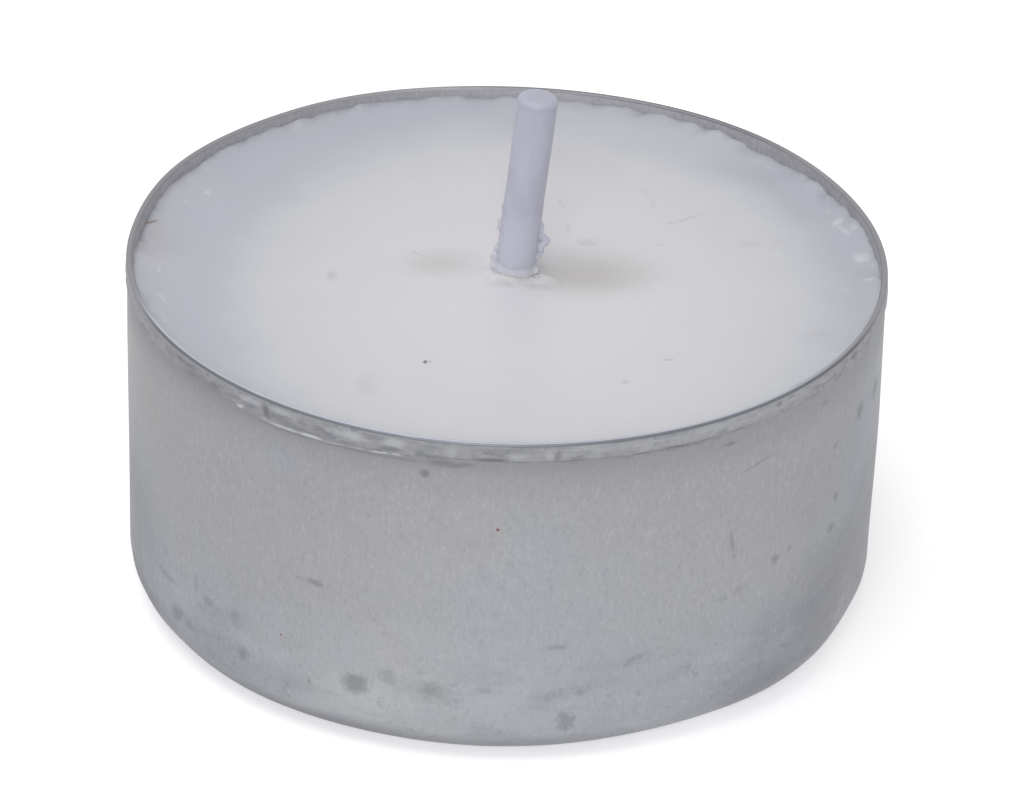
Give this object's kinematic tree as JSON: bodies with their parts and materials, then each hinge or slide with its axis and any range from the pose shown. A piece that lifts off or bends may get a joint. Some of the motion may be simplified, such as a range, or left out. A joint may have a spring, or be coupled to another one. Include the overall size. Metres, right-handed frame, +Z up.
{
  "type": "tea light candle",
  "caption": "Small round candle in a shallow aluminium cup with a hemmed rim, filled level with pale wax round an upright waxed wick.",
  "frame": {"origin": "middle of the cup's base, on the surface that it stands on", "axes": "+Z up along the cup's axis; the wick leans towards +X; the front is -Y"},
  "size_m": [0.038, 0.038, 0.0271],
  "materials": {
    "aluminium_cup": "satin rolled sheet with fine vertical drawing grain",
    "candle_wax": "smooth, slightly translucent, soft sheen",
    "waxed_wick": "cotton soaked in wax, smooth",
    "tinned_steel": "bright tin"
  },
  "bodies": {
    "root": {"cup": "aluminium_cup", "wax_fill": "candle_wax", "wick": "waxed_wick", "wick_sustainer": "tinned_steel"}
  },
  "joints": []
}
